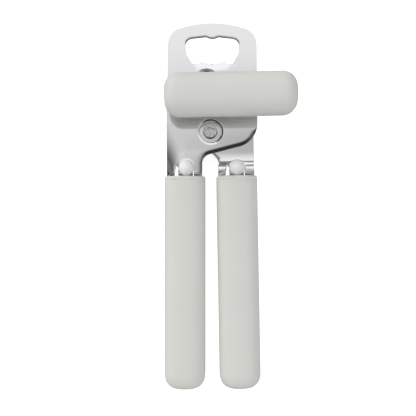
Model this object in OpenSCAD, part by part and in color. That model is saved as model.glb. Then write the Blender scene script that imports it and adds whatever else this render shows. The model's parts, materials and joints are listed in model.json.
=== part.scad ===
// Manual can opener: two crossed steel levers on a pivot rivet. The front lever carries a
// crank with a toothed feed wheel; the back lever carries a geared cutting wheel.
// Millimetres. The opener lies on its back: +Z is up towards the knob, and +Y points to the
// bottle-opener end. z = 0 is the surface that the grips and the cutter screw rest on.
// Modules are drawn with the pivot axis at x = 0, y = 0; place() then centres the whole part.

/* [Levers] */
// Distance from the pivot to the bottle-opener end
head_length = 62.4; // [61:0.2:64]
// Distance from the pivot to the closed ends of the grips
handle_length = 149.6; // [142:0.2:160]
// Thickness of the steel of both levers
plate_t = 2; // [1.7:0.1:2.1]
// Gap between the two plates, which the spacer washer keeps
plate_gap = 0.4; // [0.3:0.1:0.5]
// Angle that the back lever stands open at rest
rest_splay = 1; // [0:0.05:1.5]

/* [Grips] */
// Width of each grip
grip_w = 23.9; // [23.6:0.1:25]
// Depth of each grip
grip_d = 21; // [20:0.2:22]

/* [Crank] */
// Length of the knob
knob_l = 72.4; // [66:0.1:80]
// Width of the knob
knob_w = 23.8; // [23:0.1:27]
// Height of the knob
knob_h = 22; // [20:0.2:24]
// Height of the knob's underside over the resting surface
knob_z = 34; // [32:0.5:36]
// Angle of the knob to the head at rest
knob_turn = 1; // [0:0.5:5]

/* [Wheels] */
// Teeth on each of the two equal gears
gear_teeth = 14; // [13:1:15]
// Radius of the cutting wheel
cutter_r = 10.5; // [9.8:0.1:10.6]
// Radius of the feed wheel over its teeth
feed_r = 8.1; // [7.6:0.1:8.2]
// Teeth on the feed wheel
feed_teeth = 22; // [18:1:26]

/* [Hidden] */
$fn = 64;

// Overlap that keeps cutting bodies clear of the faces they cut
cut = 1;
// Radial running clearance and axial play of the moving fits
running = 0.05;
play = 0.03;

// Heights of the stack, from the front plate's outer face down to the cutter screw
front_top = 15;
front_low = front_top - plate_t;
back_top = front_low - plate_gap;
back_low = back_top - plate_t;
gear_top = 10.2;
gear_low = 7.4;
collar_low = 3.9;
cutter_low = 2.2;
feed_low = 4.2;
axle_low = 2.1;
screw_head_h = 1.5;

// Crank shaft and cutter axle, measured from the pivot; the gears touch at half their distance
crank_at = [11, 17.9];
axle_at = [-2.2, 30.8];
gear_gap = norm(axle_at - crank_at);
pitch_r = gear_gap / 2;
axle_dir = atan2(axle_at.y - crank_at.y, axle_at.x - crank_at.x);

// Head of the front plate
head_x = 1.1;
head_corner_x = 25.55;
head_corner_y = head_length - 4.8;
head_crown_y = head_length + 3.5;
head_crown_r = 61;
head_r = 9.5;
front_left_x = -25.4;
front_right_x = 27.4;

// Bottle-opener hole, half of its outline from its middle: [x, y, corner radius]
opener_half = [[11.7, 39.9, 1], [15.5, 46.3, 7], [15.7, 53.9, 4.3], [3.6, 55.3, 1.5], [1.3, 54.35, 1]];
lip_y = 39.9;
lip_depth = 2.9;
lip_half = 8.5;
lip_angle = 22;

// Round window over the cutter axle
window_at = [-2.05, 31.1];
window_r = 5.2;

// Pivot rivet
rivet_flange_r = 6.75;
rivet_flange_t = 0.8;
rivet_seat_r = 7;
rivet_seat_depth = 0.9;
rivet_r = 4.5;
rivet_button_r = 3.5;
rivet_button_h = 0.45;
rivet_tail_r = 7.5;
rivet_tail_t = 1.5;
rivet_washer_t = 0.35;

// Channel-shaped tangs that the grips slide over
tang_w = 20.6;
tang_depth = 8;
front_tang_r = 5;
back_tang_r = 2.8;
tang_end_y = -86;
front_tang_x = front_left_x + tang_w / 2;
channel_start_y = -17.5;

// Back plate, drawn parallel to the front one and then splayed
back_tang_x = 14.75;
back_right_x = back_tang_x + tang_w / 2;
back_left_x = back_tang_x - tang_w / 2;
joggle_top_y = -15.6;
joggle_end_y = -18.2;
crank_clear_y = 4.6;
crank_clear_x = 4.6;

// Raised lance on each tang
dome_r = 5;
dome_wall = 1.3;
dome_y = -20.8;
dome_sink = 1.6;
dome_step = 9;
front_dome_x = -13.9;
back_dome_x = 15.3;
slit_end_y = -32;

// Grips
grip_top_y = -25.5;
grip_socket_clear = 0.15;
grip_socket_end_y = tang_end_y - 1;
grip_left_x = front_tang_x + 0.25;
grip_right_x = back_tang_x + 0.15;
grip_power = 2.7;
grip_sides = 40;
grip_end_l = 9.5;
grip_end_steps = 8;
grip_shoulder = [0.94, 0.98, 1];
grip_shoulder_l = 1.6;

// Crank shaft and its bushing
bushing_r = 4.8;
bushing_flange_r = 6.8;
bushing_flange_t = 1.2;
bushing_low = 10.55;
shaft_r = 4;
shaft_collar_r = 6;
shaft_collar_z = front_top + bushing_flange_t + 0.7;
shaft_collar_h = 2.4;
shaft_top = 47;
drive_r = 3.5;
drive_flat = 5.2;
thread_r = 2.5;
shaft_low = 1.9;
nut_r = 4.6;

// Knob
knob_plan_r = 7.3;
knob_bulge = 0.65;
knob_top_r = 10;
knob_low_r = 3;
knob_end_top_r = 7;
knob_crown = 0.8;
knob_wall = 2.4;
knob_base_l = 60;
knob_base_w = 16;
knob_base_t = 2.2;
knob_base_r = 5;
knob_hub_r = 7;
knob_hub_low = 26;
core_l = 54;
core_w = 5;
core_h = 9;
core_z = knob_z + knob_base_t + 0.5;
core_hub_r = 7;
pin_r = 1.25;
pin_l = 2 * core_hub_r;
pin_z = core_z + core_h / 2;

// Teeth
addendum = 0.95;
dedendum = 1.25;
tooth_share = 0.455;
pressure_angle = 25;
flank_steps = 5;
serration_depth = 0.9;
serration_land = 0.16;

// Cutter axle
axle_r = 3;
axle_shoulder_r = 4.6;
axle_head_r = 4.4;
axle_head_t = 0.8;
axle_fit_r = 3.4;
axle_tap_r = 1.5;
axle_tap_l = 4;
collar_r = 7;
cutter_flat_r = 7.6;
cutter_edge_t = 0.15;
cutter_washer_r = 5.2;
screw_head_r = 4.4;
slot_w = 1.2;
slot_depth = 0.8;

// The part's origin is under the middle of its bounding box
grip_out_x = grip_left_x - grip_w / 2;
knob_out_x = crank_at.x + knob_l / 2;
centre_x = (grip_out_x + knob_out_x) / 2;
centre_y = (head_length - handle_length) / 2;

function unit(v) = v / norm(v);

// Arc of radius r that rounds the corner at b, between the edges towards a and c
function corner(a, b, c, r, n) =
    let (u = unit(a - b), v = unit(c - b), half = acos(u * v) / 2, sweep = 180 - 2 * half,
        centre = b + unit(u + v) * r / sin(half),
        p = b + u * r / tan(half) - centre, q = b + v * r / tan(half) - centre)
    [for (i = [0:n]) centre + (sin(sweep * (1 - i / n)) * p + sin(sweep * i / n) * q) / sin(sweep)];

// Outline through corners given as [x, y, radius]; a radius of 0 leaves a corner sharp
function rounded(c, n = 8) = [for (i = [0:len(c) - 1])
    let (a = c[(i + len(c) - 1) % len(c)], b = c[i], d = c[(i + 1) % len(c)])
    each b.z == 0 ? [[b.x, b.y]] : corner([a.x, a.y], [b.x, b.y], [d.x, d.y], b.z, n)];

function mirrored(c) = [for (i = [len(c) - 1:-1:0]) [-c[i].x, c[i].y, c[i].z]];

// Point of an involute of base radius rb, at unrolling angle t
function involute(rb, t) = rb * [cos(t) + t * PI / 180 * sin(t), sin(t) - t * PI / 180 * cos(t)];

function turned(p, a) = [p.x * cos(a) - p.y * sin(a), p.x * sin(a) + p.y * cos(a)];

// Half-thickness angle of a gear tooth at its base circle
function base_half(rb) = 360 * tooth_share / gear_teeth / 2
    + tan(pressure_angle) * 180 / PI - pressure_angle;

// One involute gear tooth, pointing along +X, from root to root
function tooth() =
    let (rb = pitch_r * cos(pressure_angle), tip = pitch_r + addendum, root = pitch_r - dedendum,
        t_end = sqrt(pow(tip / rb, 2) - 1) * 180 / PI,
        flank = [for (i = [0:flank_steps]) turned(involute(rb, t_end * i / flank_steps), -base_half(rb))])
    concat([turned([root, 0], -base_half(rb))], flank,
        [for (i = [flank_steps:-1:0]) [flank[i].x, -flank[i].y]],
        [turned([root, 0], base_half(rb))]);

function gear_outline() = [for (i = [0:gear_teeth - 1], p = tooth()) turned(p, 360 * i / gear_teeth)];

function serrated_outline() = [for (i = [0:feed_teeth - 1],
    s = [[feed_r, -serration_land], [feed_r, serration_land], [feed_r - serration_depth, 0.5]])
    s.x * [cos(360 * (i + s.y) / feed_teeth), sin(360 * (i + s.y) / feed_teeth)]];

// Superellipse of half-sizes a and b, as seen along a grip
function oval(a, b, n) = [for (i = [0:n - 1])
    let (c = cos(360 * i / n), s = sin(360 * i / n))
    [a * sign(c) * pow(abs(c), 2 / grip_power), b * sign(s) * pow(abs(s), 2 / grip_power)]];

module place() {
    translate([-centre_x, -centre_y, 0]) children();
}

module at(p, z) {
    translate([p.x, p.y, z]) children();
}

module back_lever() {
    place() rotate(rest_splay) children();
}

module ring(outer, inner, low, high) {
    rotate_extrude() translate([inner, low]) square([outer - inner, high - low]);
}

module disc(r, low, high) {
    translate([0, 0, low]) cylinder(r = r, h = high - low);
}

module slab(points, low, high) {
    translate([0, 0, low]) linear_extrude(high - low) polygon(points);
}

// Section drawn in x and z, running from y = start down to y = end
module along_handle(points, start, end) {
    translate([0, start, 0]) rotate([90, 0, 0]) linear_extrude(start - end) polygon(points);
}

module double_d(r, flat, low, high) {
    intersection() {
        disc(r, low, high);
        translate([-flat / 2, -r, low]) cube([flat, 2 * r, high - low]);
    }
}

// Channel of a tang with edges of radius r, open towards the back
module tang_channel(x, start, r) {
    inner_r = r - plate_t;
    a = tang_w / 2;
    b = a - plate_t;
    translate([x, 0, front_top])
        along_handle(rounded([[-a, -tang_depth, 0], [-a, 0, r], [a, 0, r],
            [a, -tang_depth, 0], [b, -tang_depth, 0], [b, -plate_t, inner_r],
            [-b, -plate_t, inner_r], [-b, -tang_depth, 0]]), start, tang_end_y);
}

// Two pointed slits that free the sides of a raised lance
module lance_slits(x) {
    translate([x, 0, 0]) {
        slab([[-7.6, slit_end_y], [-5.2, slit_end_y], [-5.2, -20.9], [-5.8, -19.4], [-6.4, -20.9]],
            front_low - cut, front_top + cut);
        slab([[5.1, slit_end_y], [6.1, slit_end_y], [5.9, -23], [5.6, -22.2], [5.3, -23]],
            front_low - cut, front_top + cut);
    }
}

// Half of a ball with a small flat on top, standing on a short cylinder
module button(r, foot) {
    rotate_extrude() polygon(concat([[0, -foot], [r, -foot]],
        [for (a = [0:dome_step:90 - dome_step]) r * [cos(a), sin(a)]],
        [[0, r * cos(dome_step)]]));
}

module lance_dome(x) {
    translate([x, dome_y, front_top - dome_sink]) button(dome_r, plate_t - dome_sink);
}

module lance_hollow(x) {
    translate([x, dome_y, front_top - dome_sink]) button(dome_r - dome_wall, dome_r);
}

module opener_hole() {
    translate([head_x, 0, 0])
        slab(rounded(concat(opener_half, mirrored(opener_half))),
            front_low - cut, front_top + cut);
}

// Bevel that turns the hole's lower edge into the lifting lip
module opener_bevel() {
    translate([head_x, lip_y - lip_depth, front_top]) rotate([-lip_angle, 0, 0])
        translate([-lip_half, 0, 0]) cube([2 * lip_half, 2 * lip_depth, lip_depth]);
}

module front_plate() {
    color("silver") place() {
        difference() {
            union() {
                slab(rounded([[front_left_x, channel_start_y - 2, 0],
                    [front_left_x + tang_w, channel_start_y - 2, 0],
                    [front_left_x + tang_w, -13.95, 5.8],
                    [front_right_x, -5.6, 13.9],
                    [head_x + head_corner_x, head_corner_y, head_r],
                    [head_x, head_crown_y, head_crown_r],
                    [head_x - head_corner_x, head_corner_y, head_r]]), front_low, front_top);
                tang_channel(front_tang_x, channel_start_y, front_tang_r);
                lance_dome(front_dome_x);
            }
            opener_hole();
            opener_bevel();
            at(window_at, 0) disc(window_r, front_low - cut, front_top + cut);
            disc(rivet_seat_r, front_top - rivet_seat_depth, front_top + cut);
            disc(rivet_r, front_low - cut, front_top + cut);
            at(crank_at, 0) disc(bushing_r, front_low - cut, front_top + cut);
            lance_slits(front_dome_x);
            lance_hollow(front_dome_x);
        }
    }
}

// Raised step that brings the back tang level with the front one
module joggle() {
    translate([back_left_x, 0, 0]) rotate([90, 0, 90]) linear_extrude(tang_w)
        polygon([[joggle_top_y, back_low], [joggle_top_y + 1, back_low], [joggle_top_y + 1, back_top],
            [joggle_top_y, back_top], [joggle_end_y, front_top], [joggle_end_y - 2, front_top],
            [joggle_end_y - 2, front_low], [joggle_end_y, front_low]]);
}

module back_plate() {
    color("darkgray") back_lever() {
        difference() {
            union() {
                slab(rounded([[back_left_x, joggle_top_y, 0], [back_right_x, joggle_top_y, 0],
                    [back_right_x, crank_clear_y, 6], [crank_clear_x, crank_clear_y, 5],
                    [crank_clear_x, 22, 6], [axle_at.x + 9.1, 30, 3], [axle_at.x + 9.1, 39.1, 8.5],
                    [axle_at.x - 9.1, 39.1, 8.5], [-10.8, -4, 8]]),
                    back_low, back_top);
                joggle();
                tang_channel(back_tang_x, joggle_end_y, back_tang_r);
                lance_dome(back_dome_x);
            }
            at(turned(axle_at, -rest_splay), 0) {
                disc(axle_fit_r, back_low - cut, back_top + cut);
                disc(axle_head_r, back_top - axle_head_t, back_top + cut);
            }
            disc(rivet_r + running, back_low - cut, back_top + cut);
            lance_slits(back_dome_x);
            lance_hollow(back_dome_x);
        }
    }
}

// Closed skin through rings of equal point counts
module skin(rings) {
    n = len(rings[0]);
    last = len(rings) - 1;
    side = [for (k = [0:last - 1], i = [0:n - 1])
        [k * n + i, k * n + (i + 1) % n, (k + 1) * n + (i + 1) % n, (k + 1) * n + i]];
    caps = [[for (i = [n - 1:-1:0]) i], [for (i = [0:n - 1]) last * n + i]];
    polyhedron(points = [for (r = rings, p = r) p], faces = concat(side, caps), convexity = 4);
}

function grip_ring(x, y, scale_w, scale_d) =
    [for (p = oval(grip_w / 2 * scale_w, grip_d / 2 * scale_d, grip_sides))
        [x + p.x, y, grip_d / 2 + p.y]];

// Rings from the shoulder at the steel down to the rounded closed end
function grip_rings(x) =
    let (low = -handle_length, m = len(grip_shoulder) - 1)
    concat(
        [for (i = [0:m])
            grip_ring(x, grip_top_y - grip_shoulder_l * i / m, grip_shoulder[i], grip_shoulder[i])],
        [for (i = [0:grip_end_steps])
            let (a = 88 * i / grip_end_steps, s = 1 - 0.62 * (1 - cos(a)))
            grip_ring(x, low + grip_end_l * (1 - sin(a) / sin(88)), s, s)]);

// Sleeve whose socket follows its tang's own section, with a running gap all round
module grip(x, tang_x, r) {
    c = grip_socket_clear;
    a = tang_w / 2 + c;
    difference() {
        skin(grip_rings(x));
        translate([tang_x, 0, front_top])
            along_handle(rounded([[-a, -tang_depth - c, 0], [-a, c, r + c], [a, c, r + c],
                [a, -tang_depth - c, 0]]), grip_top_y + cut, grip_socket_end_y);
    }
}

module left_grip() {
    color("whitesmoke") place() grip(grip_left_x, front_tang_x, front_tang_r);
}

module right_grip() {
    color("whitesmoke") back_lever() grip(grip_right_x, back_tang_x, back_tang_r);
}

module pivot_rivet() {
    flange_top = front_top - rivet_seat_depth + rivet_flange_t;
    tail_top = back_low - rivet_washer_t - play;
    color("lightgray") place() {
        disc(rivet_button_r, flange_top - cut / 2, front_top + rivet_button_h);
        disc(rivet_flange_r, front_top - rivet_seat_depth, flange_top);
        disc(rivet_r, tail_top - cut, front_top - rivet_seat_depth + cut / 2);
        disc(rivet_tail_r, tail_top - rivet_tail_t, tail_top);
    }
}

module pivot_spacer_washer() {
    color("gray") place() ring(rivet_tail_r + 1, rivet_r, back_top + play, front_low);
}

module pivot_back_washer() {
    color("gray") place()
        ring(rivet_tail_r + 0.5, rivet_r, back_low - play - rivet_washer_t, back_low - play);
}

module crank_bushing() {
    color("goldenrod") place() at(crank_at, 0) difference() {
        union() {
            disc(bushing_r, bushing_low, front_top + cut / 2);
            disc(bushing_flange_r, front_top, front_top + bushing_flange_t);
        }
        disc(shaft_r + running, bushing_low - cut, front_top + bushing_flange_t + cut);
    }
}

module cutter_axle() {
    color("lightgray") place() at(axle_at, 0) difference() {
        union() {
            disc(axle_head_r, back_top - axle_head_t, back_top);
            disc(axle_fit_r, back_low - cut / 4, back_top);
            disc(axle_shoulder_r, gear_top + play, back_low);
            disc(axle_r, axle_low, back_low);
        }
        disc(axle_tap_r, axle_low - cut, axle_low + axle_tap_l);
    }
}

module cutter_washer() {
    color("gray") place() at(axle_at, 0) ring(cutter_washer_r, axle_tap_r, screw_head_h, axle_low);
}

module cutter_screw() {
    color("dimgray") place() at(axle_at, 0) difference() {
        union() {
            disc(screw_head_r, 0, screw_head_h);
            disc(axle_tap_r, screw_head_h - cut / 2, axle_low + axle_tap_l);
        }
        translate([-screw_head_r - cut, -slot_w / 2, -cut])
            cube([2 * (screw_head_r + cut), slot_w, slot_depth + cut]);
    }
}

module crank_shaft() {
    color("lightgray") place() at(crank_at, 0) difference() {
        union() {
            disc(thread_r, shaft_low, feed_low + cut / 2);
            double_d(drive_r, drive_flat, feed_low, gear_top + cut / 4);
            disc(shaft_r, gear_top, shaft_top);
            disc(shaft_collar_r, shaft_collar_z, shaft_collar_z + shaft_collar_h);
        }
        rotate(knob_turn) translate([0, pin_l / 2, pin_z]) rotate([90, 0, 0]) cylinder(r = pin_r, h = pin_l);
    }
}

module crank_thrust_washer() {
    color("gray") place() at(crank_at, 0)
        ring(bushing_flange_r, shaft_r, front_top + bushing_flange_t + play, shaft_collar_z);
}

module drive_washer() {
    color("gray") place() at(crank_at, 0) ring(shaft_r + 1.6, shaft_r, gear_top, bushing_low - play);
}

module drive_gear() {
    color("darkgray") place() at(crank_at, 0) difference() {
        rotate(axle_dir) slab(gear_outline(), gear_low, gear_top);
        double_d(drive_r, drive_flat, gear_low - cut, gear_top + cut);
    }
}

module feed_wheel() {
    color("lightgray") place() at(crank_at, 0) difference() {
        intersection() {
            slab(serrated_outline(), feed_low, gear_low);
            rotate_extrude() polygon([[0, feed_low], [feed_r - 0.6, feed_low], [feed_r + 0.1, feed_low + 0.7],
                [feed_r + 0.1, gear_low], [0, gear_low]]);
        }
        double_d(drive_r, drive_flat, feed_low - cut, gear_low + cut);
    }
}

module feed_wheel_nut() {
    color("gray") place() at(crank_at, 0) difference() {
        translate([0, 0, shaft_low + 0.2]) cylinder(r = nut_r, h = feed_low - shaft_low - 0.2, $fn = 6);
        disc(thread_r, shaft_low - cut, feed_low + cut);
    }
}

module knob_core() {
    color("gray") place() at(crank_at, 0) rotate(knob_turn) difference() {
        union() {
            translate([-core_l / 2, -core_w / 2, core_z]) cube([core_l, core_w, core_h]);
            disc(core_hub_r, core_z, core_z + core_h);
        }
        disc(shaft_r, core_z - cut, core_z + core_h + cut);
        translate([0, pin_l / 2 + cut, pin_z]) rotate([90, 0, 0]) cylinder(r = pin_r, h = pin_l + 2 * cut);
    }
}

module knob_cross_pin() {
    color("silver") place() at(crank_at, pin_z) rotate(knob_turn)
        translate([0, pin_l / 2, 0]) rotate([90, 0, 0]) cylinder(r = pin_r, h = pin_l);
}

// Outline of the knob from above, inset by a wall: straight sides and slightly bulging ends
function knob_plan(inset) =
    let (a = knob_l / 2 - inset, b = knob_w / 2 - inset, r = knob_plan_r - inset)
    rounded([[a - knob_bulge, -b, r], [a, 0, 40], [a - knob_bulge, b, r],
        [-a + knob_bulge, b, r], [-a, 0, 40], [-a + knob_bulge, -b, r]]);

// Section of the knob across its length: crowned top, fuller shoulders than its foot
function knob_section(inset) =
    let (b = knob_w / 2 - inset, low = inset, top = knob_h - inset)
    rounded([[-b, low, knob_low_r - inset / 2], [b, low, knob_low_r - inset / 2],
        [b, top - knob_crown, knob_top_r - inset], [0, top, 24],
        [-b, top - knob_crown, knob_top_r - inset]]);

// Side view of the knob along its length
function knob_side(inset) =
    let (a = knob_l / 2 - inset, low = inset, top = knob_h - inset)
    rounded([[-a, low, knob_low_r - inset / 2], [a, low, knob_low_r - inset / 2],
        [a, top, knob_end_top_r - inset], [-a, top, knob_end_top_r - inset]]);

module knob_form(inset) {
    translate([0, 0, knob_z]) intersection() {
        linear_extrude(knob_h) polygon(knob_plan(inset));
        rotate([90, 0, 90]) translate([0, 0, -knob_l / 2]) linear_extrude(knob_l)
            polygon(knob_section(inset));
        rotate([90, 0, 0]) translate([0, 0, -knob_w / 2]) linear_extrude(knob_w)
            polygon(knob_side(inset));
    }
}

module knob_base_outline(low, high) {
    a = knob_base_l / 2;
    b = knob_base_w / 2;
    slab(rounded([[-a, -b, knob_base_r], [a, -b, knob_base_r], [a, b, knob_base_r],
        [-a, b, knob_base_r]]), low, high);
}

module knob_base() {
    color("gainsboro") place() at(crank_at, 0) rotate(knob_turn) difference() {
        union() {
            knob_base_outline(knob_z, knob_z + knob_base_t);
            disc(knob_hub_r, knob_hub_low, knob_z + cut);
        }
        disc(shaft_r, knob_hub_low - cut, knob_z + knob_base_t + cut);
    }
}

module knob_shell() {
    color("whitesmoke") place() at(crank_at, 0) rotate(knob_turn) difference() {
        knob_form(0);
        knob_form(knob_wall);
        knob_base_outline(knob_z - cut, knob_z + knob_base_t + cut);
    }
}

module cutter_gear() {
    color("darkgray") place() at(axle_at, 0) difference() {
        rotate(axle_dir + 180 + 180 / gear_teeth) slab(gear_outline(), gear_low, gear_top);
        disc(axle_r + running, gear_low - cut, gear_top + cut);
    }
}

module cutter_collar() {
    color("lightgray") place() at(axle_at, 0) ring(collar_r, axle_r + running, collar_low, gear_low);
}

module cutting_wheel() {
    inner = axle_r + running;
    color("silver") place() at(axle_at, 0) rotate_extrude()
        polygon([[inner, cutter_low], [cutter_flat_r, cutter_low],
            [cutter_r, collar_low - cutter_edge_t], [cutter_r, collar_low], [inner, collar_low]]);
}

front_plate();
left_grip();
pivot_rivet();
pivot_spacer_washer();
pivot_back_washer();
crank_bushing();
back_plate();
right_grip();
cutter_axle();
cutter_washer();
cutter_screw();
crank_shaft();
crank_thrust_washer();
drive_washer();
drive_gear();
feed_wheel();
feed_wheel_nut();
knob_core();
knob_cross_pin();
knob_base();
knob_shell();
cutter_gear();
cutter_collar();
cutting_wheel();
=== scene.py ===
import json
import math
from collections import namedtuple

import bmesh
import bpy
import numpy as np
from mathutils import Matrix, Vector
from mathutils.geometry import delaunay_2d_cdt


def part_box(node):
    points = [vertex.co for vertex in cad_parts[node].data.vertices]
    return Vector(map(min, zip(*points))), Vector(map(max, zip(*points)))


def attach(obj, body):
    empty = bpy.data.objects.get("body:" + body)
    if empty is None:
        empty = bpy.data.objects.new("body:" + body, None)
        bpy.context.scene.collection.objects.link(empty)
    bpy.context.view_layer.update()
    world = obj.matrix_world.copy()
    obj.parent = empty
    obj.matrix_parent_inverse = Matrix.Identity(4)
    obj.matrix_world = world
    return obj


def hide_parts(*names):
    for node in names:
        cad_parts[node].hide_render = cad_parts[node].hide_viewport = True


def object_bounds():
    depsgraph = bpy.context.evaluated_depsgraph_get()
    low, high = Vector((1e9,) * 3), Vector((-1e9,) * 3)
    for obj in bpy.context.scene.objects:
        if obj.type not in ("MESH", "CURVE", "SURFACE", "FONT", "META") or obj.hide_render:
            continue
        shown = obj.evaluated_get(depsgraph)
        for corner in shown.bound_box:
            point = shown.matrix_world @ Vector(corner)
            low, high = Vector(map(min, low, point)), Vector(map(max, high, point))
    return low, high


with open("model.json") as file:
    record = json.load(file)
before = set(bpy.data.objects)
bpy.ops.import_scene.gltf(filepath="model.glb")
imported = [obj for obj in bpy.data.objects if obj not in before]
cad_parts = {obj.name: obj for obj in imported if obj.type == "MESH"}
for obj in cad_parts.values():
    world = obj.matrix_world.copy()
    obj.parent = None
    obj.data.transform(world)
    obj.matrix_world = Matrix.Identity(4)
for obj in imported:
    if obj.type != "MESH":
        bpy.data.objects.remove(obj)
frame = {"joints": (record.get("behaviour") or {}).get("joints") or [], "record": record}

# A manual can opener seen from above. Shapes are worked out in millimetres, mostly from the
# pivot axis, and scaled to metres when each mesh is made.

MM = 0.001
CAD_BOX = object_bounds()
BODY_OF = {n: b for b, ns in frame["record"]["behaviour"]["bodies"].items() for n in ns}


def joint_at(name):
    """Where a joint's axis crosses the XY plane, in millimetres."""
    place = next(j["pos_m"] for j in frame["joints"] if j["name"] == name)
    return np.array(place[:2]) / MM


def low_mm(node):
    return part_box(node)[0].z / MM


def high_mm(node):
    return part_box(node)[1].z / MM


PIVOT = joint_at("handle_pivot")
CRANK = joint_at("crank_turn")
AXLE = joint_at("cutter_spin")
GEAR_GAP = float(np.linalg.norm(AXLE - CRANK))
AXLE_DIR = math.atan2(AXLE[1] - CRANK[1], AXLE[0] - CRANK[0])

# Heights of the stack
PLATE_T = 2.0
FORMED_GAP = 0.03
FRONT_LOW = high_mm("pivot_spacer_washer")
FRONT_TOP = FRONT_LOW + PLATE_T
BACK_LOW = high_mm("pivot_back_washer") + FORMED_GAP
BACK_TOP = BACK_LOW + PLATE_T
GEAR_LOW, GEAR_TOP = low_mm("drive_gear"), high_mm("drive_gear")
REST_SPLAY = math.radians(1.0)
KNOB_TURN = math.radians(1.0)

# The raised lances on the two tangs, from the pivot
DOME_Y, DOME_R, DOME_SINK = -20.8, 5.0, 1.6
DOME_FOOT, DOME_RISE, DOME_SATIN_R = 4.6, 0.12, 4.7
FRONT_DOME_X, BACK_DOME_X = -13.9, 15.3


# ---------------------------------------------------------------- outlines

def corner_arc(a, b, c, r, step):
    """Points of the arc of radius r that rounds corner b between the edges towards a and c."""
    u, v = (a - b) / np.linalg.norm(a - b), (c - b) / np.linalg.norm(c - b)
    half = math.acos(np.clip(u @ v, -1, 1)) / 2
    sweep = math.pi - 2 * half
    centre = b + (u + v) / np.linalg.norm(u + v) * r / math.sin(half)
    p, q = b + u * r / math.tan(half) - centre, b + v * r / math.tan(half) - centre
    n = max(3, math.ceil(r * sweep / step))
    return [centre + (math.sin(sweep * (1 - i / n)) * p + math.sin(sweep * i / n) * q)
            / math.sin(sweep) for i in range(n + 1)]


def rounded(corners, step=0.7):
    """Evenly stepped closed outline through corners (x, y, radius)."""
    pts = []
    for i, (x, y, r) in enumerate(corners):
        a, b, c = (np.array(corners[(i + k) % len(corners)][:2], float) for k in (-1, 0, 1))
        pts += corner_arc(a, b, c, r, min(step, 0.35 * r)) if r else [b]
    out = []
    for p, q in zip(pts, pts[1:] + pts[:1]):
        n = max(1, round(float(np.linalg.norm(q - p)) / step))
        out += [p + (q - p) * i / n for i in range(n)]
    return np.array(out)


def circle(r, centre=(0, 0), step=0.5):
    n = max(24, math.ceil(2 * math.pi * r / step))
    a = np.arange(n) * 2 * math.pi / n
    return np.stack([centre[0] + r * np.cos(a), centre[1] + r * np.sin(a)], 1)


def spun(points, angle):
    """Points turned about the origin."""
    c, s = math.cos(angle), math.sin(angle)
    points = np.asarray(points, float)
    return np.stack([points[:, 0] * c - points[:, 1] * s, points[:, 0] * s + points[:, 1] * c], 1)


def inset(loop, d):
    """A counter-clockwise loop moved inwards by d; outwards where d is negative."""
    t = np.roll(loop, -1, 0) - np.roll(loop, 1, 0)
    t /= np.linalg.norm(t, axis=1)[:, None]
    return loop + d * np.stack([-t[:, 1], t[:, 0]], 1)


def smooth(x, a, b):
    """0 at a, 1 at b, with a smooth ramp between."""
    t = np.clip((x - a) / (b - a), 0, 1)
    return t * t * (3 - 2 * t)


def nearest(points, loop):
    """Distance of each point to a closed loop, and the nearest place on it."""
    a, b = loop, np.roll(loop, -1, 0)
    best, where = np.full(len(points), 1e9), np.zeros((len(points), 2))
    for p, q in zip(a, b):
        e = q - p
        t = np.clip((points - p) @ e / max(e @ e, 1e-12), 0, 1)
        foot = p + t[:, None] * e
        d = np.linalg.norm(points - foot, axis=1)
        near = d < best
        best[near], where[near] = d[near], foot[near]
    return best, where


def inside(points, loop):
    """Which points lie inside a closed loop."""
    x, y = points[:, 0], points[:, 1]
    hit = np.zeros(len(points), bool)
    for (x0, y0), (x1, y1) in zip(loop, np.roll(loop, -1, 0)):
        if y0 == y1:
            continue
        hit ^= ((y0 > y) != (y1 > y)) & (x < (x1 - x0) * (y - y0) / (y1 - y0) + x0)
    return hit


def quarter(d, r):
    """How far a rolled edge of radius r has dropped at distance d from the rim."""
    r = np.maximum(r, 1e-6)
    return r - np.sqrt(np.maximum(r * r - (r - np.clip(d, 0, r)) ** 2, 0))


# ---------------------------------------------------------------- meshes

def finish_piece(name, verts, faces, node, material, sharp=38, more=()):
    """Makes the mesh that stands for a CAD node, rides on its body and takes its finish."""
    mesh = bpy.data.meshes.new(name)
    mesh.from_pydata((np.asarray(verts, float) * MM).tolist(), [], [list(map(int, f)) for f in faces])
    bm = bmesh.new()
    bm.from_mesh(mesh)
    bmesh.ops.remove_doubles(bm, verts=bm.verts, dist=1e-7)
    bmesh.ops.dissolve_degenerate(bm, edges=bm.edges, dist=1e-8)
    bmesh.ops.recalc_face_normals(bm, faces=bm.faces)
    bm.to_mesh(mesh)
    bm.free()
    mesh.shade_smooth()
    mesh.set_sharp_from_angle(angle=math.radians(sharp))
    mesh.materials.append(material)
    obj = bpy.data.objects.new(name, mesh)
    bpy.context.scene.collection.objects.link(obj)
    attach(obj, BODY_OF[node])
    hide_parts(node, *more)
    return obj


Rim = namedtuple("Rim", "d place hole_d hole_place hole")


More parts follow.
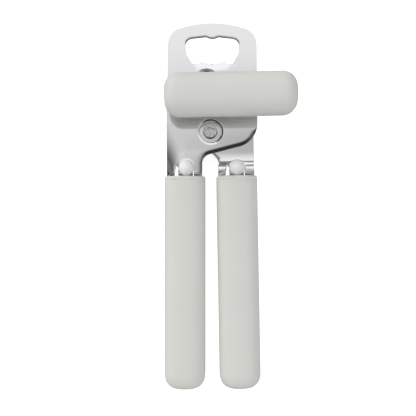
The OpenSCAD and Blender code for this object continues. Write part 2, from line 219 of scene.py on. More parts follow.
def sheet(outer, holes, top, low, rims=(0, 0.1, 0.3), hole_rims=None, marks=(), grid=0, fine=()):
    """A plate as triangles: outline, holes, and the heights of both faces as functions.

    top and low take the points, the distance to the outline and its nearest place, the distance
    to the nearest hole's rim and its nearest place, and that hole's number from 1. rims are
    the distances from the rims at which both faces follow extra rings; marks are more loops.
    grid is the spacing of the points between; fine lists boxes (x0, x1, y0, y1, spacing)."""
    if hole_rims is None:
        hole_rims = [rims] * len(holes)
    loops = [inset(outer, d) for d in rims] + [np.asarray(m) for m in marks]
    loops += [inset(h, -d) for h, ring in zip(holes, hole_rims) for d in ring]
    pts, edges = [], []
    for loop in loops:
        n0 = len(pts)
        pts += loop.tolist()
        edges += [(n0 + i, n0 + (i + 1) % len(loop)) for i in range(len(loop))]
    if grid:
        lo, hi = outer.min(0), outer.max(0)
        g = np.stack(np.meshgrid(np.arange(lo[0], hi[0], grid), np.arange(lo[1], hi[1], grid)), -1)
        sets = [(g.reshape(-1, 2), grid)]
        for x0, x1, y0, y1, gap in fine:
            sets = [(q[~((q[:, 0] > x0) & (q[:, 0] < x1) & (q[:, 1] > y0) & (q[:, 1] < y1))], k)
                    for q, k in sets]
            g = np.stack(np.meshgrid(np.arange(x0, x1, gap), np.arange(y0, y1, gap)), -1)
            sets.append((g.reshape(-1, 2), gap))
        for g, gap in sets:
            for loop in loops:
                g = g[nearest(g, loop)[0] > 0.45 * gap]
            pts += g.tolist()
    found = delaunay_2d_cdt([Vector(p) for p in pts], edges, [], 0, 1e-5)
    xy = np.array([tuple(v) for v in found[0]])
    tris = np.array(found[2])
    mid = xy[tris].mean(1)
    keep = inside(mid, outer)
    for h in holes:
        keep &= ~inside(mid, h)
    tris = tris[keep]
    used = np.unique(tris)
    remap = np.full(len(xy), -1)
    remap[used] = np.arange(len(used))
    xy, tris = xy[used], remap[tris]

    d, place = nearest(xy, outer)
    dh, hole_place, number = np.full(len(xy), 1e9), np.zeros((len(xy), 2)), np.zeros(len(xy), int)
    for i, h in enumerate(holes):
        gap, foot = nearest(xy, h)
        near = gap < dh
        dh[near], hole_place[near], number[near] = gap[near], foot[near], i + 1
    rim = Rim(d, place, dh, hole_place, number)
    z_top, z_low = top(xy, rim), low(xy, rim)

    n = len(xy)
    verts = np.concatenate([np.column_stack([xy, z_top]), np.column_stack([xy, z_low])])
    e1, e2 = xy[tris[:, 1]] - xy[tris[:, 0]], xy[tris[:, 2]] - xy[tris[:, 0]]
    flip = e1[:, 0] * e2[:, 1] - e1[:, 1] * e2[:, 0] < 0
    tris[flip] = tris[flip][:, ::-1]
    faces = tris.tolist() + (tris[:, ::-1] + n).tolist()
    half = {(t[i], t[(i + 1) % 3]) for t in tris.tolist() for i in range(3)}
    faces += [(b, a, a + n, b + n) for a, b in half if (b, a) not in half]
    return verts, faces


def slab(outer, holes, z0, z1, edge=0.25, marks=()):
    """A flat plate with both rims softened."""
    rims = (0, 0.15 * edge, 0.4 * edge, edge)
    return sheet(outer, holes,
                 lambda p, rim: z1 - quarter(np.minimum(rim.d, rim.hole_d), edge),
                 lambda p, rim: z0 + quarter(np.minimum(rim.d, rim.hole_d), edge), rims, marks=marks)


def lathe(corners, segments=96, step=0.4):
    """A closed profile of (radius, height, rounding) turned about the Z axis."""
    loop = rounded(corners, step)
    loop[:, 0] = np.maximum(loop[:, 0], 0)
    a = np.arange(segments) * 2 * math.pi / segments
    m = len(loop)
    verts = [(r * math.cos(t), r * math.sin(t), z) for t in a for r, z in loop]
    faces = [(i * m + j, ((i + 1) % segments) * m + j, ((i + 1) % segments) * m + (j + 1) % m,
              i * m + (j + 1) % m) for i in range(segments) for j in range(m)]
    return np.array(verts), faces


def loft(rings):
    """Skin over rings of equal point counts, closed at both ends."""
    n = len(rings[0])
    verts = np.concatenate([*rings, [rings[0].mean(0)], [rings[-1].mean(0)]])
    faces = [(k * n + i, k * n + (i + 1) % n, (k + 1) * n + (i + 1) % n, (k + 1) * n + i)
             for k in range(len(rings) - 1) for i in range(n)]
    last = (len(rings) - 1) * n
    faces += [((i + 1) % n, i, len(rings) * n) for i in range(n)]
    faces += [(last + i, last + (i + 1) % n, len(rings) * n + 1) for i in range(n)]
    return verts, faces


def moved(verts, at, z=0.0, turn=0.0):
    """Vertices turned about Z, then put at a place in the part's frame."""
    verts = np.asarray(verts, float).copy()
    verts[:, :2] = spun(verts[:, :2], turn) + np.asarray(at)
    verts[:, 2] += z
    return verts


# ---------------------------------------------------------------- materials

def new_material(name, base, metallic, roughness):
    mat = bpy.data.materials.new(name)
    mat.use_nodes = True
    shader = mat.node_tree.nodes["Principled BSDF"]
    shader.inputs["Base Color"].default_value = (*base, 1)
    shader.inputs["Metallic"].default_value = metallic
    shader.inputs["Roughness"].default_value = roughness
    return mat, mat.node_tree, shader


def add(tree, kind, inputs=None, **props):
    """A shader node with its properties and unlinked inputs set; sockets passed in are linked."""
    node = tree.nodes.new(kind)
    for key, value in props.items():
        setattr(node, key, value)
    for key, value in (inputs or {}).items():
        if isinstance(value, bpy.types.NodeSocket):
            tree.links.new(value, node.inputs[key])
        else:
            node.inputs[key].default_value = value
    return node


def grain(tree, scale, stretch=(1, 1, 1), detail=4.0, turn=0.0):
    """Noise in the piece's own space, stretched along one direction for a brushed look."""
    where = add(tree, "ShaderNodeTexCoord")
    mapped = add(tree, "ShaderNodeMapping",
                 {"Vector": where.outputs["Object"], "Scale": stretch, "Rotation": (0, 0, turn)})
    return add(tree, "ShaderNodeTexNoise",
               {"Vector": mapped.outputs["Vector"], "Scale": scale, "Detail": detail}).outputs["Fac"]


def between(tree, fac, low, high):
    return add(tree, "ShaderNodeMapRange", {"Value": fac, "To Min": low, "To Max": high}).outputs["Result"]


def tinted(tree, fac, dark, light):
    mix = add(tree, "ShaderNodeMix", {"Factor": fac}, data_type="RGBA")
    mix.inputs["A"].default_value = (*dark, 1)
    mix.inputs["B"].default_value = (*light, 1)
    return mix.outputs["Result"]


def bumped(tree, shader, fac, strength, distance):
    bump = add(tree, "ShaderNodeBump", {"Height": fac, "Strength": strength, "Distance": distance})
    tree.links.new(bump.outputs["Normal"], shader.inputs["Normal"])


SATIN_ROUGHNESS, SATIN_COLOUR = 0.42, (0.93, 0.93, 0.94, 1)


def satin_spots(tree, spots):
    """1 inside the given round places (x, y, radius in mm), 0 outside."""
    where = add(tree, "ShaderNodeTexCoord").outputs["Object"]
    flat = add(tree, "ShaderNodeVectorMath", {0: where, 1: (1, 1, 0)}, operation="MULTIPLY")
    total = 0.0
    for x, y, r in spots:
        gap = add(tree, "ShaderNodeVectorMath", {0: flat.outputs["Vector"], 1: (x * MM, y * MM, 0)},
                  operation="DISTANCE")
        near = add(tree, "ShaderNodeMapRange",
                   {"Value": gap.outputs["Value"], "From Min": (r + 0.3) * MM, "From Max": (r - 0.4) * MM},
                   interpolation_type="SMOOTHSTEP")
        total = add(tree, "ShaderNodeMath", {0: near.outputs["Result"], 1: total},
                    operation="MAXIMUM").outputs[0]
    return total


def steel(name, shade, rough, brush=(1, 1, 1), turn=0.0, pits=0.0, spread=0.06, satin=()):
    """Metal with streaked roughness, faint mottling and worn, brighter edges."""
    base = (shade, shade, shade * 1.01)
    mat, tree, shader = new_material(name, base, 1.0, rough)
    fine = grain(tree, 900, brush, 3.0, turn)
    broad = grain(tree, 60, (1, 1, 1), 3.0)
    both = add(tree, "ShaderNodeMath", {0: fine, 1: broad}, operation="MULTIPLY").outputs[0]
    roughness = between(tree, both, rough - spread, rough + 3 * spread)
    if satin:
        spot = satin_spots(tree, satin)
        matt = add(tree, "ShaderNodeMix", {"Factor": spot, "A": roughness, "B": SATIN_ROUGHNESS})
        roughness = matt.outputs["Result"]
        tree.links.new(between(tree, spot, 1.0, 0.1), shader.inputs["Metallic"])
    tree.links.new(roughness, shader.inputs["Roughness"])
    edge = add(tree, "ShaderNodeNewGeometry").outputs["Pointiness"]
    worn = add(tree, "ShaderNodeMapRange", {"Value": edge, "From Min": 0.49, "From Max": 0.56})
    mottled = tinted(tree, broad, [c * 0.965 for c in base], [min(1, c * 1.02) for c in base])
    colour = add(tree, "ShaderNodeMix", {"Factor": worn.outputs["Result"], "A": mottled}, data_type="RGBA")
    colour.inputs["B"].default_value = (*[min(1, c * 1.06) for c in base], 1)
    out = colour.outputs["Result"]
    if satin:
        pale = add(tree, "ShaderNodeMix", {"Factor": spot, "A": out}, data_type="RGBA")
        pale.inputs["B"].default_value = SATIN_COLOUR
        out = pale.outputs["Result"]
    tree.links.new(out, shader.inputs["Base Color"])
    bumped(tree, shader, fine, 0.12 + pits, 0.00002)
    return mat


def plastic(name, light, dark, rough):
    """Moulded plastic: a fine spark-eroded texture and soft mottling."""
    mat, tree, shader = new_material(name, light, 0.0, rough)
    fine = grain(tree, 2600, (1, 1, 1), 2.0)
    broad = grain(tree, 35, (1, 1, 1), 2.0)
    tree.links.new(tinted(tree, broad, dark, light), shader.inputs["Base Color"])
    tree.links.new(between(tree, fine, rough - 0.06, rough + 0.08), shader.inputs["Roughness"])
    shader.inputs["IOR"].default_value = 1.49
    shader.inputs["Subsurface Weight"].default_value = 0.06
    shader.inputs["Subsurface Radius"].default_value = (0.0012, 0.0010, 0.0008)
    shader.inputs["Subsurface Scale"].default_value = 1.0
    bumped(tree, shader, fine, 0.18, 0.00003)
    return mat


DOME_PLACES = [(*(PIVOT + spun([(x, DOME_Y)], turn)[0]), DOME_SATIN_R)
               for x, turn in ((FRONT_DOME_X, 0), (BACK_DOME_X, REST_SPLAY))]
LEVER = steel("lever_steel", 0.80, 0.06, (1, 0.05, 1), spread=0.02, satin=DOME_PLACES)
RIVET = steel("rivet_steel", 0.76, 0.24, pits=0.5)
# Dark steel for the seat's chamfer round the rivet: painted shade in place of the shadow in the gap between
# flange and plate.
SEAT_SHADE_PAINT = steel("rivet_seat_painted_shade", 0.16, 0.42)
TURNED = steel("turned_steel", 0.66, 0.24, (0.2, 0.2, 3))
WASHER = steel("washer_steel", 0.58, 0.30)
GEAR = steel("gear_steel", 0.42, 0.38, pits=0.3)
WHEEL = steel("wheel_steel", 0.52, 0.30, (1, 1, 0.1))
BLADE = steel("blade_steel", 0.72, 0.14, (0.3, 0.3, 1))
FASTENER = steel("fastener_steel", 0.60, 0.22)
CORE = steel("core_steel", 0.35, 0.45, pits=0.3)
GRIP = plastic("grip_plastic", (0.735, 0.735, 0.700), (0.715, 0.715, 0.680), 0.46)
KNOB = plastic("knob_plastic", (0.720, 0.720, 0.695), (0.700, 0.700, 0.675), 0.44)


# ---------------------------------------------------------------- levers

HEAD_X = 1.1
HEAD_HALF, HEAD_CORNER_R = 25.55, 9.5
TANG_HALF = 10.3
FRONT_TANG_X = -15.1
BACK_TANG_X = 14.75
TANG_END = -85.8
SEAT_R, SEAT_DEPTH, SEAT_AT = 6.6, 0.9, np.array([0.16, 0.14])
FLANGE_R = 6.4
WINDOW, WINDOW_R = (-2.05, 31.1), 5.2
LIP_CENTRE, LIP_R = np.array([HEAD_X, 62.75]), 26.0
LIP_SLOPE = math.tan(math.radians(24))


def opener_outline():
    half = [(2.5, 39.5, 9), (7.0, 41.1, 0.9), (8.8, 39.6, 0.7), (11.7, 39.6, 1.6), (15.5, 46.2, 7),
            (15.7, 53.9, 4.3), (3.6, 55.3, 1.5), (1.3, 54.35, 1)]
    corners = half + [(-x, y, r) for x, y, r in reversed(half)]
    return rounded([(x + HEAD_X, y, r) for x, y, r in corners], 0.5)


def slit_outlines(dome_x):
    """The two pointed cuts beside the raised lance."""
    left = [(-8.2, -32, 0.4), (-4.7, -32, 0.4), (-4.7, -20.9, 0.8), (-5.7, -19.1, 0.25), (-6.3, -20.9, 1)]
    right = [(3.55, -32, 0.3), (4.5, -32, 0.3), (4.35, -23.1, 0.5), (4.0, -22.0, 0.12), (3.7, -23.1, 0.5)]
    return [rounded([(x + dome_x, y, r) for x, y, r in side], 0.35) for side in (left, right)]


def roll(d, width, slope, straight=0.0):
    """Drop at distance d from a rim that bends down over width, then runs straight at slope."""
    flat = width * straight
    bend = np.maximum(width - flat, 1e-6)
    return slope * (np.maximum(flat - d, 0) + 0.5 * bend * (1 - np.clip((d - flat) / bend, 0, 1)) ** 2)


# The front lever's left side bends down over BEND_WIDTH, ever more steeply towards the grip
BEND_TOP_Y, BEND_FULL_Y, BEND_GRIP_Y = 7.5, -6.0, -24.0
BEND_WIDTH, BEND_GRIP_LESS = 10.4, 1.6
BEND_SLOPE, BEND_GRIP_SLOPE, BEND_POWER = 0.22, 0.95, 1.5


def left_bend(y):
    """Width and end slope of the front lever's bent left side."""
    width = BEND_WIDTH * smooth(y, BEND_TOP_Y, BEND_FULL_Y) - BEND_GRIP_LESS * smooth(y, -8, BEND_GRIP_Y)
    along = np.clip((1 - y) / (1 - BEND_GRIP_Y), 0, 1) ** BEND_POWER
    return 0.3 + width, BEND_SLOPE + (BEND_GRIP_SLOPE - BEND_SLOPE) * along


def front_edges(rim):
    """Width and end slope of the bent edge, the turned-down wall, and how much of the width runs
    straight, along the front lever."""
    x, y = rim.place[:, 0], rim.place[:, 1]
    left = x < FRONT_TANG_X
    bend = left_bend(y)
    sweep = smooth(y, 4.5, -1.5)
    inner = smooth(x, -2.8, -4.6) * (y < 0)
    width = np.where(left, bend[0], 0.3 + 2.6 * sweep + 0.4 * inner)
    slope = np.where(left, bend[1], 0.4 + 0.14 * sweep + 0.09 * inner)
    wall = np.where(left, 0.01 + 6.6 * smooth(y, -4, -16), 5.2 * smooth(y, -16, -21))
    return width, slope, np.where(y < 8, wall, 0.0), np.where(left, 0, 0.55 * sweep * (1 - inner))


def front_level(p):
    """Formed level of the front lever: a slight rise along the tang, then a dip into the grip."""
    y = p[:, 1]
    return FRONT_LOW - 0.12 * smooth(y, -6, 8) + 0.18 * smooth(y, -8, -18) - 1.5 * smooth(y, -23, -26.8)


def back_edges(rim):
    """As front_edges, for the back lever."""
    x, y = rim.place[:, 0], rim.place[:, 1]
    diagonal = (x < BACK_TANG_X - TANG_HALF + 0.1) * smooth(y, -18, -15.5)
    return 0.3 + 1.9 * diagonal, 0.35 + 0.65 * diagonal, 5.4 * smooth(y, -19, -22), 0.0


def lever_faces(edges, base, dome_x, carve, hole_roll):
    """Height functions of a lever's two faces. base(p) is its formed level, carve what is sunk,
    and hole_roll gives the width and end slope of the bend round its holes."""

    def top(p, rim):
        width, slope, _, straight = edges(rim)
        drop = roll(rim.d, width, slope, straight) + roll(rim.hole_d, *hole_roll(rim)) + quarter(rim.d, 0.06)
        flat = base(p) + PLATE_T - drop - carve(p)
        rho = np.hypot(p[:, 0] - dome_x, p[:, 1] - DOME_Y)
        ball = FRONT_TOP - DOME_SINK + np.sqrt(np.maximum(DOME_R ** 2 - rho ** 2, 0))
        foot = DOME_RISE * np.exp(-np.maximum(rho - DOME_FOOT, 0) / 0.3) * (rho < DOME_FOOT + 1.5)
        return np.where(rho < DOME_FOOT, np.maximum(flat, ball) + DOME_RISE, flat + foot)

    def low(p, rim):
        width, slope, wall, straight = edges(rim)
        drop = np.maximum(roll(rim.d, width, slope, straight) * (wall > 0), wall * (rim.d < PLATE_T))
        ease = quarter(rim.d, 0.3) * (rim.d < PLATE_T)
        rho = np.hypot(p[:, 0] - dome_x, p[:, 1] - DOME_Y)
        hollow = np.sqrt(np.maximum(3.7 ** 2 - rho ** 2, 0))
        return base(p) - drop + ease + hollow * 0.8

    return top, low


RIMS = (0, 0.03, 0.1, 0.2, 0.32, 0.5, 0.75, 1.05, 1.4, 1.75, 2.0, 2.04, 2.4, 2.75, 3.1, 3.8, 4.6, 5.4)
HOLE_RIMS = (0, 0.04, 0.12, 0.22, 0.42, 0.7, 1.0, 1.2)
SLIT_RIMS = (0, 0.05, 0.15, 0.3)


def dome_marks(dome_x):
    return [circle(r, (dome_x, DOME_Y), 0.45)
            for r in (0.5, 1.2, 2, 2.8, 3.4, 3.7, 3.74, 4.1, 4.4, 4.55, 4.59, 4.61, 4.7, 4.85, 5.1, 5.4, 6)]


def make_front_plate():
    head_y = (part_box("front_plate")[1].y / MM) - PIVOT[1]
    left, right = FRONT_TANG_X - TANG_HALF, FRONT_TANG_X + TANG_HALF
    outer = rounded([(left, TANG_END, 1.5), (right, TANG_END, 1.5), (right, -13.95, 5.8), (27.4, -5.6, 13.9),
                     (HEAD_X + HEAD_HALF, head_y - 4.8, HEAD_CORNER_R), (HEAD_X, head_y + 3.5, 61),
                     (HEAD_X - HEAD_HALF, head_y - 4.8, HEAD_CORNER_R), (left, 12, 60)], 0.6)
    holes = [opener_outline(), circle(WINDOW_R, WINDOW), circle(4.5), circle(4.8, CRANK - PIVOT),
             *slit_outlines(FRONT_DOME_X)]

    def carve(p):
        rho = np.hypot(*(p - SEAT_AT).T)
        seat = SEAT_DEPTH * (1 - smooth(rho, SEAT_R - 0.05, SEAT_R + 0.03))
        side = smooth((p - SEAT_AT).sum(1) / np.maximum(rho, 1), -0.7, 0.9)
        chamfer = np.maximum(0, SEAT_R + 1.1 - 0.3 * side - rho) * (0.1 + 0.42 * side)
        chamfer *= rho > SEAT_R - 0.05
        inward = LIP_R - np.hypot(*(p - LIP_CENTRE).T)
        near_lip = (p[:, 1] < 46) * smooth(np.abs(p[:, 0] - HEAD_X), 11.5, 8.5)
        lip = np.maximum(0, inward) * LIP_SLOPE + 0.16 * np.exp(-(inward / 0.3) ** 2)
        return np.maximum(seat, chamfer) + lip * near_lip

    def hole_roll(rim):
        """The cap hole and the window are rolled along their tops; other holes have crisp edges."""
        upper = (rim.hole == 1) * smooth(rim.hole_place[:, 1], 50, 53)
        upper += (rim.hole == 2) * smooth(rim.hole_place[:, 1], WINDOW[1], WINDOW[1] + 2.5)
        slit = rim.hole > 4
        return 0.3 + 0.5 * upper + 0.5 * slit, 0.5 + 0.9 * upper + 0.3 * slit

    top, low = lever_faces(front_edges, front_level, FRONT_DOME_X, carve, hole_roll)
    span = np.radians(np.linspace(240, 300, 40))
    lip_marks = []
    for k in (0.12, 0.28, 0.5):
        arcs = [LIP_CENTRE + (LIP_R + j) * np.stack([np.cos(span), np.sin(span)], 1) for j in (k, -k)]
        lip_marks.append(np.concatenate([arcs[0], arcs[1][::-1]]))
    seat_marks = [circle(SEAT_R + k, SEAT_AT, 0.35)
                  for k in (-0.3, -0.05, -0.01, 0.03, 0.4, 0.75, 0.95, 1.1, 1.3)]
    verts, faces = sheet(outer, holes, top, low, RIMS, [HOLE_RIMS] * 4 + [SLIT_RIMS] * 2,
                         [*lip_marks, *seat_marks, *dome_marks(FRONT_DOME_X)], 1.5,
                         [(left, right, -26.2, 8, 0.8)])
    plate = finish_piece("front_lever_plate", moved(verts, PIVOT), faces, "front_plate", LEVER)
    # Faces of the seat chamfer round the rivet take the dark steel, in a band that widens towards the upper
    # right: painted shade for the gap's shadow.
    plate.data.materials.append(SEAT_SHADE_PAINT)
    for face in plate.data.polygons:
        off = np.array(face.center[:2]) / MM - PIVOT - SEAT_AT
        rho = math.hypot(*off)
        reach = SEAT_R + 0.08 + 0.7 * smooth(off.sum() / rho, -0.2, 0.7)
        if SEAT_R - 0.5 < rho < reach and face.center[2] / MM > FRONT_TOP - SEAT_DEPTH - 0.02:
            face.material_index = 1


# Heights gained along the back tang: a gentle rise, the step up to the front lever's level, a dip
TANG_RISE, STEP_RISE, STEP_EASE, GRIP_DIP = 0.24, 2.02, 0.12, 0.98


def stepped(p):
    """Formed level of the back lever; left of the lance it dips sooner towards the grip."""
    y = p[:, 1] - 0.8 * smooth(p[:, 0], 10, 9) * smooth(p[:, 1], -21, -22)
    rise = TANG_RISE * np.clip((-10.5 - y) / 6, 0, 1) ** 2
    step = STEP_RISE * smooth(y, -16.4, -20.9) + STEP_EASE * smooth(y, -20, -22.6)
    return BACK_LOW + rise + step - GRIP_DIP * smooth(y, -22.9, -26.4)


def make_back_plate():
    left, right = BACK_TANG_X - TANG_HALF, BACK_TANG_X + TANG_HALF
    ax, ay = spun([AXLE - PIVOT], -REST_SPLAY)[0]
    outer = rounded([(left, TANG_END, 1.5), (right, TANG_END, 1.5), (right, 4.6, 6), (4.6, 4.6, 5),
                     (4.6, 22, 6), (ax + 9.1, 30, 3), (ax + 9.1, 39.1, 8.5), (ax - 9.1, 39.1, 8.5),
                     (-10.8, -4, 7), (-1.5, -9.9, 3), (left - 0.25, -16, 2.2)], 0.6)
    holes = [circle(3.4, (ax, ay)), circle(4.55), *slit_outlines(BACK_DOME_X)]

    def carve(p):
        rho = np.hypot(p[:, 0] - ax, p[:, 1] - ay)
        return 0.8 * (1 - smooth(rho, 4.32, 4.4)) + 0.62 * np.clip(5.4 - rho, 0, 1) * (rho > 4.36)

    def hole_roll(rim):
        slit = rim.hole > 2
        return 0.2 + 0.6 * slit, 0.3 + 0.5 * slit

    top, low = lever_faces(back_edges, stepped, BACK_DOME_X, carve, hole_roll)
    marks = [circle(r, (ax, ay), 0.4) for r in (4.32, 4.4, 4.9, 5.4)]
    verts, faces = sheet(outer, holes, top, low, RIMS, [SLIT_RIMS] * 4,
                         marks + dome_marks(BACK_DOME_X), 1.5, [(left, right, -26.2, -11, 0.5)])
    finish_piece("back_lever_plate", moved(verts, PIVOT, turn=REST_SPLAY), faces, "back_plate", LEVER)


# ---------------------------------------------------------------- grips

GRIP_TOP, GRIP_END = -25.5, -149.6
GRIP_HALF_W, GRIP_HALF_D = 11.95, 10.5
GRIP_POWER = 2.7
END_R_W, END_R_D, END_POWER = 9.6, 8.2, 2.4
GROOVE_Y, GROOVE_W, GROOVE_DEPTH = -27.9, 0.55, 0.28


def oval(a, b, power, n=96):
    t = np.arange(n) * 2 * math.pi / n
    c, s = np.cos(t), np.sin(t)
    return np.stack([a * np.sign(c) * np.abs(c) ** (2 / power), b * np.sign(s) * np.abs(s) ** (2 / power)], 1)


def grip_ring(x, y, a, b, power=GRIP_POWER, z=GRIP_HALF_D):
    flat = oval(a, b, power)
    return np.column_stack([x + flat[:, 0], np.full(len(flat), y), z + flat[:, 1]])


def make_grip(name, node, x, tang_x, turn):
    """A sleeve from the bottom of its mouth, over the shoulder and the groove, to the closed end."""
    pocket_z = FRONT_TOP - 3.85
    rings = [grip_ring(tang_x, GRIP_TOP - dy, TANG_HALF + 0.12, 4.05, 6, pocket_z) for dy in (14, 0.5)]
    rings.append(grip_ring(tang_x, GRIP_TOP, TANG_HALF + 0.5, 4.4, 6, pocket_z))
    for a in np.radians(np.linspace(90, 0, 9)):
        r = 1.5
        cut = r * (1 - math.cos(a))
        rings.append(grip_ring(x, GRIP_TOP - r * (1 - math.sin(a)), GRIP_HALF_W - cut, GRIP_HALF_D - cut))
    for k in np.linspace(-1, 1, 9):
        sink = GROOVE_DEPTH * 0.5 * (1 + math.cos(math.pi * k))
        rings.append(grip_ring(x, GROOVE_Y - k * GROOVE_W, GRIP_HALF_W - sink, GRIP_HALF_D - sink))
    for y in np.linspace(GROOVE_Y - 2, GRIP_END + END_R_W, 30):
        rings.append(grip_ring(x, y, GRIP_HALF_W, GRIP_HALF_D))
    for a in np.radians(np.linspace(5, 90, 18)):
        cut = 1 - max(0, math.cos(a)) ** (2 / END_POWER)
        up = 1 - math.sin(a) ** (2 / END_POWER)
        rings.append(grip_ring(x, GRIP_END + END_R_W * up, GRIP_HALF_W - END_R_W * cut,
                               GRIP_HALF_D - END_R_D * cut, GRIP_POWER - 0.5 * cut))
    for s in (0.66, 0.33):
        rings.append(grip_ring(x, GRIP_END, (GRIP_HALF_W - END_R_W) * s, (GRIP_HALF_D - END_R_D) * s, 2.2))
    verts, faces = loft(rings)
    finish_piece(name, moved(verts, PIVOT, turn=turn), faces, node, GRIP, 50)


# ---------------------------------------------------------------- knob

KNOB_HALF_L, KNOB_HALF_W, KNOB_H = 36.2, 11.9, 22.0
KNOB_END_R, KNOB_TOP_R, KNOB_FOOT_R, KNOB_BULGE = 7.3, 7.0, 3.0, 0.65
KNOB_WIDEST = 10.5
KNOB_Z = low_mm("knob_shell")
BASE_HALF_L, BASE_HALF_W, BASE_T, BASE_R = 30.0, 8.0, 2.2, 5.0
HUB_R = 7.0
HUB_LOW = low_mm("knob_base")


def knob_ring(x, b, low, top, n=96):
    """Section across the knob: softly crowned above its widest line, squarer below it."""
    t = np.arange(n) * 2 * math.pi / n
    c, s = np.cos(t), np.sin(t)
    power = np.where(s > 0, 2.45, 4.2)
    y = b * np.sign(c) * np.abs(c) ** (2 / power)
    mid = knob_middle(low, top)
    z = mid + np.where(s > 0, top - mid, mid - low) * np.sign(s) * np.abs(s) ** (2 / power)
    bow = KNOB_BULGE * (1 - (y / KNOB_HALF_W) ** 2) * smooth(abs(x), 15, KNOB_HALF_L)
    return np.column_stack([x + math.copysign(1, x) * bow, y, KNOB_Z + z])


def knob_middle(low, top):
    """Height of the widest line in a section of the knob."""
    return low + (top - low) * KNOB_WIDEST / KNOB_H


def base_outline():
    return rounded([(sx * BASE_HALF_L, sy * BASE_HALF_W, BASE_R)
                    for sx, sy in ((-1, -1), (1, -1), (1, 1), (-1, 1))], 0.8)


def make_knob_shell():
    stations = []
    for a in np.radians(np.linspace(90, 0, 22)):
        cut = 1 - math.cos(a)
        stations.append((KNOB_HALF_L - KNOB_BULGE - KNOB_END_R * (1 - math.sin(a)),
                         KNOB_HALF_W - KNOB_END_R * cut, KNOB_FOOT_R * cut, KNOB_H - KNOB_TOP_R * cut))
    x, b, low, top = stations[0]
    mid = knob_middle(low, top)
    inner = [(x, b * s, mid + (low - mid) * s, mid + (top - mid) * s) for s in (0.3, 0.65)]
    side = inner + stations
    length = side[-1][0]
    rows = side + [(length * k, KNOB_HALF_W, 0, KNOB_H) for k in np.linspace(0.92, 0.04, 14)]
    rings = [knob_ring(-x, *rest) for x, *rest in rows] + [knob_ring(x, *rest) for x, *rest in rows[::-1]]
    verts, faces = loft(rings)
    shell = finish_piece("knob_shell_moulding", moved(verts, CRANK, turn=KNOB_TURN), faces,
                         "knob_shell", KNOB, 50)
    verts, faces = slab(inset(base_outline(), -0.12), [], KNOB_Z - 3, KNOB_Z + BASE_T + 0.3, 0.05)
    mesh = bpy.data.meshes.new("pocket_cutter")
    mesh.from_pydata((moved(verts, CRANK, turn=KNOB_TURN) * MM).tolist(), [], [list(f) for f in faces])
    cutter = bpy.data.objects.new("pocket_cutter", mesh)
    bpy.context.scene.collection.objects.link(cutter)
    cut = shell.modifiers.new("pocket", "BOOLEAN")
    cut.operation, cut.object, cut.solver = "DIFFERENCE", cutter, "EXACT"
    bpy.context.view_layer.update()
    done = bpy.data.meshes.new_from_object(shell.evaluated_get(bpy.context.evaluated_depsgraph_get()))
    shell.modifiers.clear()
    shell.data = done
    bpy.data.objects.remove(cutter)
    done.shade_smooth()
    done.set_sharp_from_angle(angle=math.radians(50))


def make_knob_base():
    def low(p, rim):
        rho = np.hypot(p[:, 0], p[:, 1])
        fillet = quarter(rho - HUB_R, np.full(len(p), 1.2)) * (rho >= HUB_R)
        wall = np.where(rho < HUB_R - 0.01, HUB_LOW - KNOB_Z, -fillet)
        nose = np.maximum(0, rho - (HUB_R - 0.5)) * (rho < HUB_R - 0.01)
        return KNOB_Z + wall + nose + quarter(rim.d, 0.25)

    marks = [circle(r, (0, 0), 0.5) for r in (5.2, 6.5, 6.75, 6.98, 7.0, 7.08, 7.25, 7.5, 7.85, 8.2, 9)]
    verts, faces = sheet(base_outline(), [circle(4.0)], lambda p, rim: np.full(len(p), KNOB_Z + BASE_T), low,
                         (0, 0.05, 0.12, 0.25), marks=marks, grid=3)
    finish_piece("knob_base_moulding", moved(verts, CRANK, turn=KNOB_TURN), faces, "knob_base", KNOB, 50)


# ---------------------------------------------------------------- turned and toothed pieces

def make_turned(name, node, at, corners, material, step=0.4):
    verts, faces = lathe(corners, 96, step)
    finish_piece(name, moved(verts, at), faces, node, material)


def make_ring(name, node, at, material, edge=0.08):
    """A washer or collar of the CAD node's own size, with softened rims."""
    lo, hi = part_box(node)
    outer = (hi.x - lo.x) / 2 / MM
    inner, z0, z1 = RING_BORE[node], lo.z / MM, hi.z / MM
    make_turned(name, node, at, [(inner, z0, edge), (outer, z0, edge), (outer, z1, edge),
                                 (inner, z1, edge)], material, 1.5)


RING_BORE = {"pivot_spacer_washer": 4.5, "pivot_back_washer": 4.5, "cutter_washer": 1.5,
             "crank_thrust_washer": 4.0, "drive_washer": 4.0, "cutter_collar": 3.05}


def double_d(r=3.5, flat=5.2):
    """Bore or shaft section with two flats."""
    a = math.asin(flat / 2 / r)
    arc = np.linspace(math.pi / 2 - a, math.pi / 2 + a, 14)
    top = np.stack([r * np.cos(arc), r * np.sin(arc)], 1)
    return np.concatenate([top, -top])


GEAR_TEETH = 14


def gear_outline(teeth=GEAR_TEETH, addendum=0.95, dedendum=1.25, share=0.455, pressure=math.radians(25)):
    """Involute teeth with the first one pointing along +X."""
    pitch = GEAR_GAP / 2
    base, tip, root = pitch * math.cos(pressure), pitch + addendum, pitch - dedendum
    half = 2 * math.pi * share / teeth / 2 + math.tan(pressure) - pressure
    end = math.sqrt((tip / base) ** 2 - 1)
    roll = np.linspace(0, end, 7)
    flank = base * np.stack([np.cos(roll) + roll * np.sin(roll), np.sin(roll) - roll * np.cos(roll)], 1)
    flank = spun(np.concatenate([[[root, 0]], flank]), -half)
    tooth = np.concatenate([flank, flank[::-1] * [1, -1]])
    return np.concatenate([spun(tooth, 2 * math.pi * i / teeth) for i in range(teeth)])


def make_gear(name, node, at, bore, turn):
    verts, faces = slab(spun(gear_outline(), turn), [bore], GEAR_LOW, GEAR_TOP, 0.3)
    finish_piece(name, moved(verts, at), faces, node, GEAR, 30)


